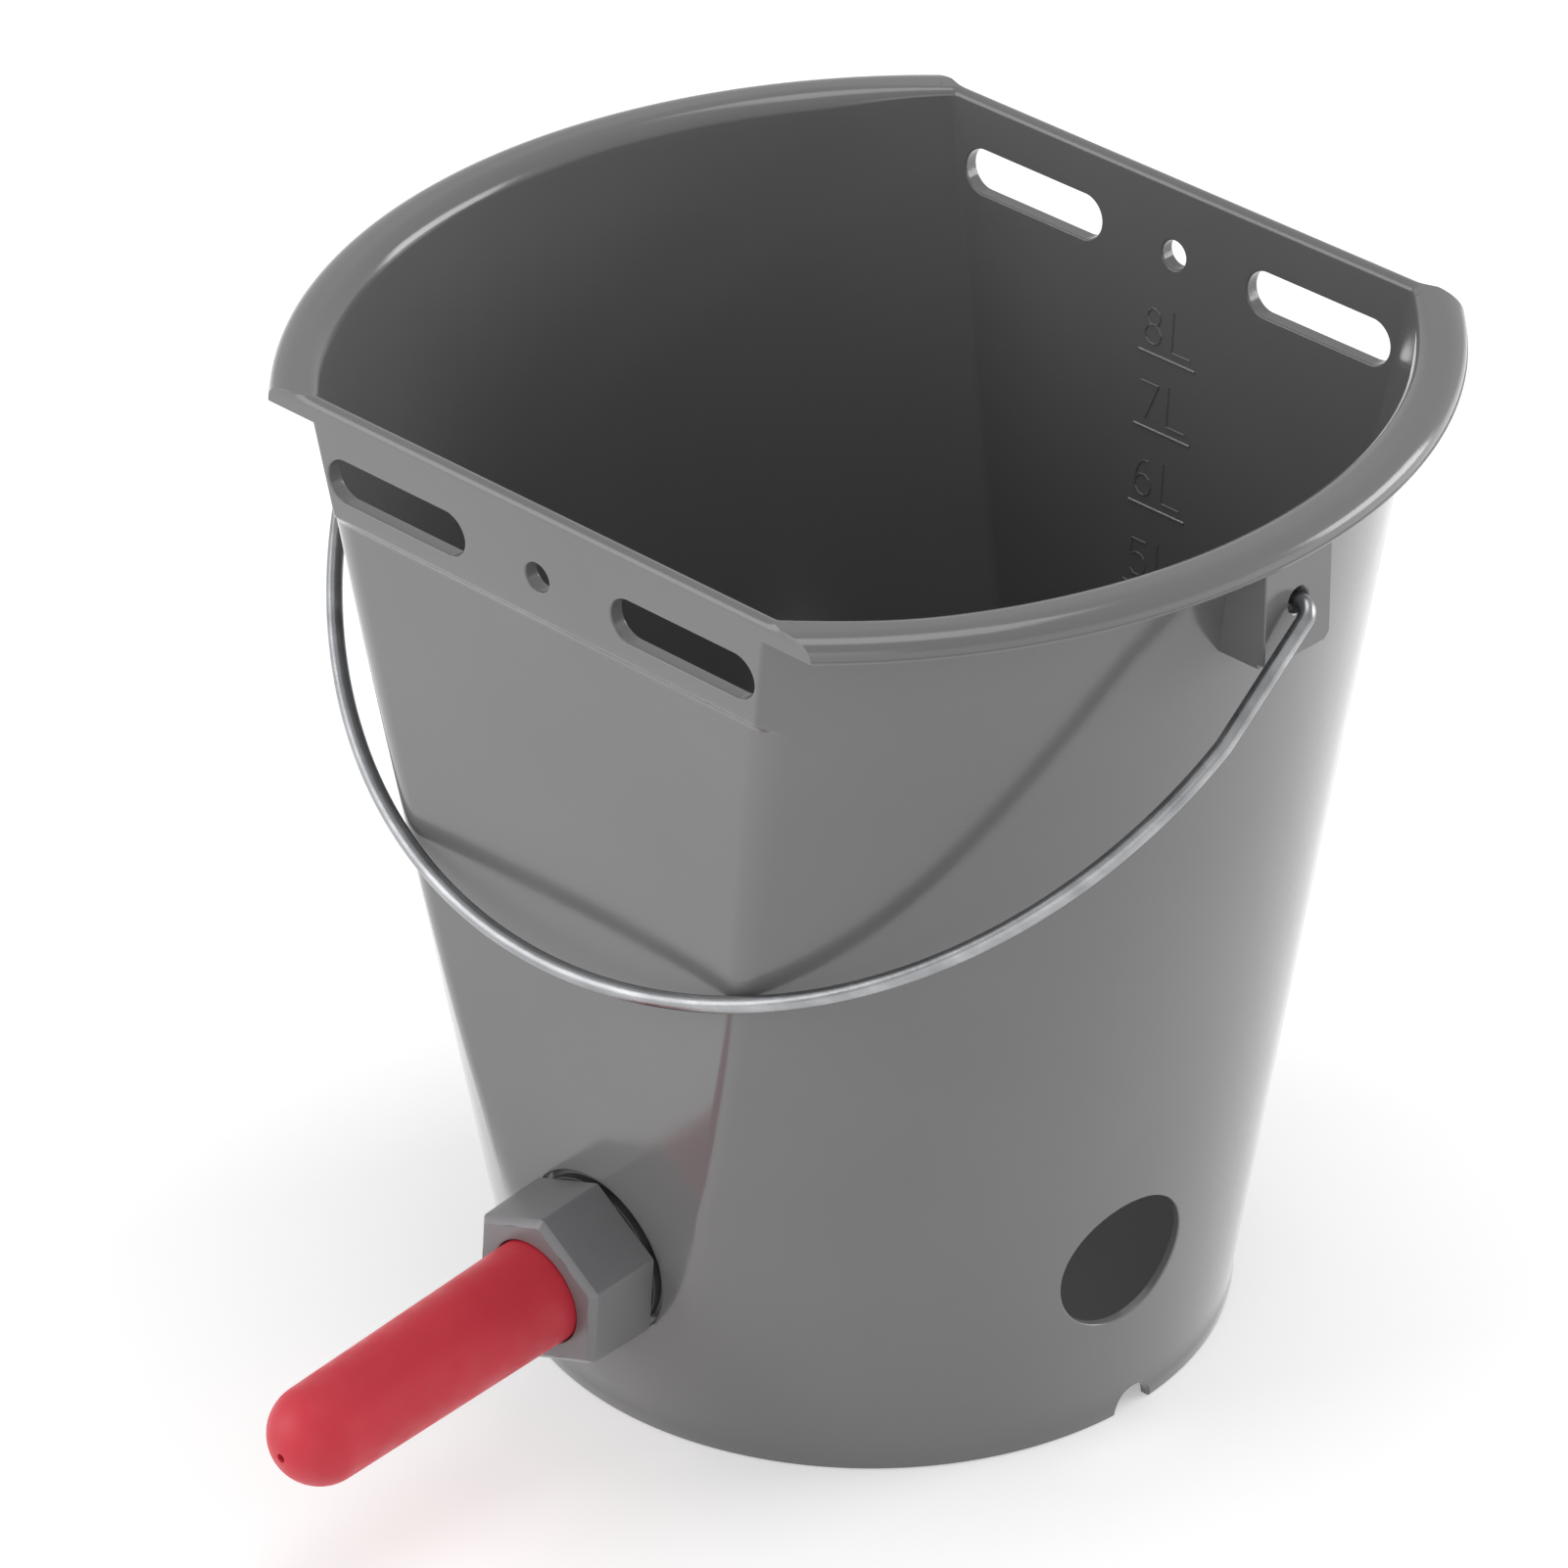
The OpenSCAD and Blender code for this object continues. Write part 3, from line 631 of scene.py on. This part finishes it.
def wire(path, radius, steps=20):
    """Rings along a path in the bail's plane, with chamfered ends."""
    rings = []
    flat_normal = Vector((0, math.cos(bail_tilt), -math.sin(bail_tilt)))
    for i, p in enumerate(path):
        way = (path[min(i + 1, len(path) - 1)] - path[max(i - 1, 0)]).normalized()
        side = way.cross(flat_normal).normalized()
        rings.append([p + (side * math.cos(a) + flat_normal * math.sin(a)) * radius
                      for a in (2 * math.pi * j / steps for j in range(steps))])
    first, last = path[0], path[-1]
    inward = (path[1] - path[0]).normalized()
    rings[0] = [first + (p - first) * 0.84 for p in rings[0]]
    rings.insert(1, [q + inward * 0.35 for q in
                     [first + (p - first) / 0.84 for p in rings[0]]])
    outward = (path[-1] - path[-2]).normalized()
    rings.insert(-1, [q - outward * 0.35 for q in rings[-1]])
    rings[-1] = [last + (p - last) * 0.84 for p in rings[-1]]
    return rings


bail = add_piece("bail", *skin(wire(bail_path(), wire_radius)), sharp=50)
zinc, tree, shader, place = new_finish("galvanised_wire")
shader.inputs["Metallic"].default_value = 1.0
spangle = mottle(tree, stretched(tree, place, (0.35, 1.0, 1.0)), 130, 3, 0.55)
vary(tree, shader, "Base Color", spangle,
     (0.3, 0.235, 0.24, 0.25), (0.55, 0.30, 0.305, 0.315), (0.75, 0.37, 0.375, 0.385))
vary(tree, shader, "Roughness", mottle(tree, place, 240, 2), (0.3, 0.26), (0.7, 0.36))
bumped(tree, shader, mottle(tree, place, 700, 3), 0.00006, 0.6)
bail.data.materials.append(zinc)
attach(bail, "bail")
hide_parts("bail")


# Valve body: a white moulded nylon bushing put through the wall from inside. Its flange holds
# it, its shoulder fills the hole, and a coarse thread outside takes the nut.
def thread_cut(s, turn, start, end):
    """How deep a 4 mm thread is cut at a place, from 0 to 1, fading at both ends."""
    phase = (s / 4 - turn / (2 * math.pi)) % 1.0
    shape = min(max((abs(phase - 0.5) - 0.14) / 0.22, 0.0), 1.0)
    return shape * min(max((s - start) / 1.2, 0), 1) * min(max((end - s) / 1.2, 0), 1)


def threaded(profile, radius, depth, start, end, steps=96):
    """A closed turned profile whose points between start and end at that radius carry a thread."""
    rings = []
    for r, s in profile:
        ring = []
        for j in range(steps):
            turn = 2 * math.pi * j / steps
            cut_in = depth * thread_cut(s, turn, start, end) if abs(r - radius) < 1e-6 else 0
            ring.append(on_axis(r - cut_in, turn, s))
        rings.append(ring)
    return skin(rings, True)


thread_radius, thread_depth = 17.5, 0.95
inlet, chamber, shoulder, flange, spigot_end = 6.0, 8.9, 19.3, 26.0, 16.9
gasket_face, flange_back, seat = -6.0, -9.0, -4.5
profile = [(inlet, flange_back), (inlet + 0.3, flange_back), (flange - 0.4, flange_back), (flange, -8.6),
           (flange, -6.3), (flange - 0.3, gasket_face), (shoulder, gasket_face), (shoulder, -1.9),
           (shoulder - 0.3, recess_back), (thread_radius, recess_back)]
profile += [(thread_radius, -1.2 + 0.4 * i) for i in range(45)]
profile += [(thread_radius - 0.3, spigot_end), (chamber + 0.5, spigot_end), (chamber, 16.4),
            (chamber, -4.2), (chamber - 0.3, seat), (inlet + 0.3, seat), (inlet, -4.8), (inlet, -8.7)]
valve_body = add_piece("valve_body", *threaded(profile, thread_radius, thread_depth, -0.6, 16.2))
white_nylon, tree, shader, place = new_finish("natural_nylon")
vary(tree, shader, "Base Color", mottle(tree, place, 60, 3),
     (0.3, 0.66, 0.65, 0.60), (0.7, 0.74, 0.73, 0.69))
vary(tree, shader, "Roughness", mottle(tree, place, 240, 2), (0.3, 0.32), (0.7, 0.45))
bumped(tree, shader, mottle(tree, place, 900, 2), 0.00003, 0.5)
valve_body.data.materials.append(white_nylon)
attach(valve_body, "bucket")
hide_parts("valve_body")


# Gaskets: two punched rings of black rubber that seal the wall from both sides. The outer one
# lies in the round recess, narrower than it; its black and the recess floor beside it make the dark
# ring between the nut and the wall, so there the black is also painted shade.
black_rubber_and_gap_shade, tree, shader, place = new_finish("black_rubber_and_gap_shade")
# Near-black rubber colour; on the outer ring it is also painted shade for the dark gap between the nut
# and the wall.
vary(tree, shader, "Base Color", mottle(tree, place, 90, 3), (0.3, 0.018), (0.7, 0.032))
vary(tree, shader, "Roughness", mottle(tree, place, 400, 2), (0.3, 0.5), (0.7, 0.68))
bumped(tree, shader, mottle(tree, place, 1500, 2), 0.00004, 0.6)
outer_gasket_front = 1.0
for name, inner, outer, back, front in (
        ("inner_gasket", 19.4, 25.0, gasket_face, boss_back),
        ("outer_gasket", 17.6, 21.6, recess_back, outer_gasket_front)):
    ring = add_piece(name, *turned([(inner, back), (outer - 0.2, back), (outer, back + 0.2),
                                    (outer, front - 0.2), (outer - 0.2, front), (inner, front)]))
    ring.data.materials.append(black_rubber_and_gap_shade)
    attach(ring, "bucket")
    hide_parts(name)


# Nut: a moulded grey hexagon nut, screwed by hand over the valve's thread. Its front web
# clamps the teat's flange on the spigot.
def hexagon(radius, rounding, s, turn_by=math.radians(21.5), per_corner=6):
    """A ring with rounded corners on the valve's axis."""
    flat = radius * math.cos(math.pi / 6)
    ring = []
    for corner in range(6):
        middle = turn_by + corner * math.pi / 3
        distance = (flat - rounding) / math.cos(math.pi / 6)
        for i in range(per_corner):
            turn = middle + (i / (per_corner - 1) - 0.5) * math.pi / 3
            x = distance * math.cos(middle) + rounding * math.cos(turn)
            y = distance * math.sin(middle) + rounding * math.sin(turn)
            ring.append((math.hypot(x, y), math.atan2(y, x), s))
        for i in range(1, 11):
            a, b = middle + math.pi / 6, middle + math.pi / 3
            first = (distance * math.cos(middle) + rounding * math.cos(a),
                     distance * math.sin(middle) + rounding * math.sin(a))
            after = (distance * math.cos(b) + rounding * math.cos(a),
                     distance * math.sin(b) + rounding * math.sin(a))
            share = i / 11
            x, y = first[0] + (after[0] - first[0]) * share, first[1] + (after[1] - first[1]) * share
            ring.append((math.hypot(x, y), math.atan2(y, x), s))
    return ring


def round_ring(radius, s, like, thread=None):
    ring = []
    for _, turn, _ in like:
        cut_in = thread_depth * thread_cut(s, turn, *thread) if thread else 0
        ring.append((radius - cut_in, turn, s))
    return ring


nut_front, web_back, opening = 22.4, 19.4, 14.8
outside = [hexagon(radius, rounding, s) for radius, rounding, s in (
    (23.95, 1.2, outer_gasket_front), (24.2, 1.4, 1.25), (24.2, 1.4, 8.0), (24.0, 1.5, 15.0),
    (23.8, 1.6, 20.6), (23.6, 1.6, 20.95), (22.1, 1.6, 22.2), (21.7, 1.6, nut_front))]
like = outside[0]
rings = outside + [round_ring(r, s, like) for r, s in (
    (19.0, nut_front), (opening + 0.6, nut_front), (opening + 0.2, 22.25), (opening, 21.9),
    (opening, web_back + 0.3), (opening + 0.3, web_back), (17.6, web_back))]
rings += [round_ring(17.62, 19.0 - 0.4 * i, like, (1.6, 17.6)) for i in range(44)]
rings += [round_ring(17.9, outer_gasket_front, like)]
points, faces = skin([[on_axis(r, turn, s) for r, turn, s in ring] for ring in rings], True)
cap_nut = add_piece("cap_nut", points, faces, sharp=24)
nut_plastic, tree, shader, place = new_finish("grey_nut_plastic")
vary(tree, shader, "Base Color", mottle(tree, place, 45, 3),
     (0.3, 0.168, 0.165, 0.172), (0.7, 0.180, 0.177, 0.184))
vary(tree, shader, "Roughness", mottle(tree, place, 180, 3), (0.3, 0.34), (0.7, 0.4))
shader.inputs["Specular IOR Level"].default_value = 0.62
bumped(tree, shader, mottle(tree, place, 1100, 2), 0.00002, 0.4)
cap_nut.data.materials.append(nut_plastic)
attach(cap_nut, "nut")
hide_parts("cap_nut")


# Teat: a soft red rubber moulding with a flange inside the nut, a slightly tapered body, a
# round tip and a small hole for the milk.
root_radius, tip_radius, hollow_radius, neck = 14.5, 13.4, 10.2, 19.6
tip = 111.2 - tip_radius
profile = [(11.3, 16.95), (17.0, 16.95), (17.2, 17.15), (17.2, 19.15), (17.0, 19.35), (14.7, 19.35),
           (root_radius - 0.01, neck)]
profile += [(root_radius - (root_radius - tip_radius) * i / 16, neck + (tip - neck) * i / 16)
            for i in range(1, 17)]
profile += [(tip_radius * math.cos(a), tip + tip_radius * math.sin(a))
            for a in (math.radians(6 * i) for i in range(1, 15))]
profile += [(1.25, tip + 13.32), (1.15, tip + 13.0), (1.15, tip + 10.6)]
profile += [(hollow_radius * math.cos(a), tip + hollow_radius * math.sin(a))
            for a in (math.radians(80 - 8 * i) for i in range(11))]
profile += [(hollow_radius + 1.1 * i / 8, tip - (tip - 17.4) * i / 8) for i in range(1, 9)]
teat = add_piece("teat", *turned(profile))
red_rubber, tree, shader, place = new_finish("red_rubber")
vary(tree, shader, "Base Color", mottle(tree, place, 38, 3),
     (0.3, 0.57, 0.027, 0.046), (0.7, 0.64, 0.035, 0.058))
vary(tree, shader, "Roughness", mottle(tree, place, 150, 3), (0.3, 0.42), (0.7, 0.6))
shader.inputs["Specular IOR Level"].default_value = 0.4
shader.inputs["Subsurface Weight"].default_value = 0.12
shader.inputs["Subsurface Radius"].default_value = (1.0, 0.25, 0.2)
shader.inputs["Subsurface Scale"].default_value = 0.003
bumped(tree, shader, mottle(tree, place, 1300, 3), 0.00005, 0.6)
teat.data.materials.append(red_rubber)
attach(teat, "teat")
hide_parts("teat")


# Ball and cage: a loose moulded ball that closes the inlet, kept in its chamber by a snap-in ring
# with a cross.
ball_radius, ball_s = 8.0, 1.0915
profile = [(ball_radius * math.sin(a), ball_s - ball_radius * math.cos(a))
           for a in (math.radians(180 * i / 32) for i in range(33))]
ball = add_piece("valve_ball", *turned(profile, 64, closed=False))
ball_plastic, tree, shader, place = new_finish("ivory_ball_plastic")
vary(tree, shader, "Base Color", mottle(tree, place, 120, 3),
     (0.3, 0.68, 0.64, 0.54), (0.7, 0.76, 0.73, 0.64))
vary(tree, shader, "Roughness", mottle(tree, place, 300, 2), (0.3, 0.2), (0.7, 0.32))
bumped(tree, shader, mottle(tree, place, 800, 2), 0.00002, 0.5)
ball.data.materials.append(ball_plastic)
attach(ball, "ball")
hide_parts("valve_ball")

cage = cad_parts["ball_cage"]
cage.data.materials.clear()
cage.data.materials.append(white_nylon)
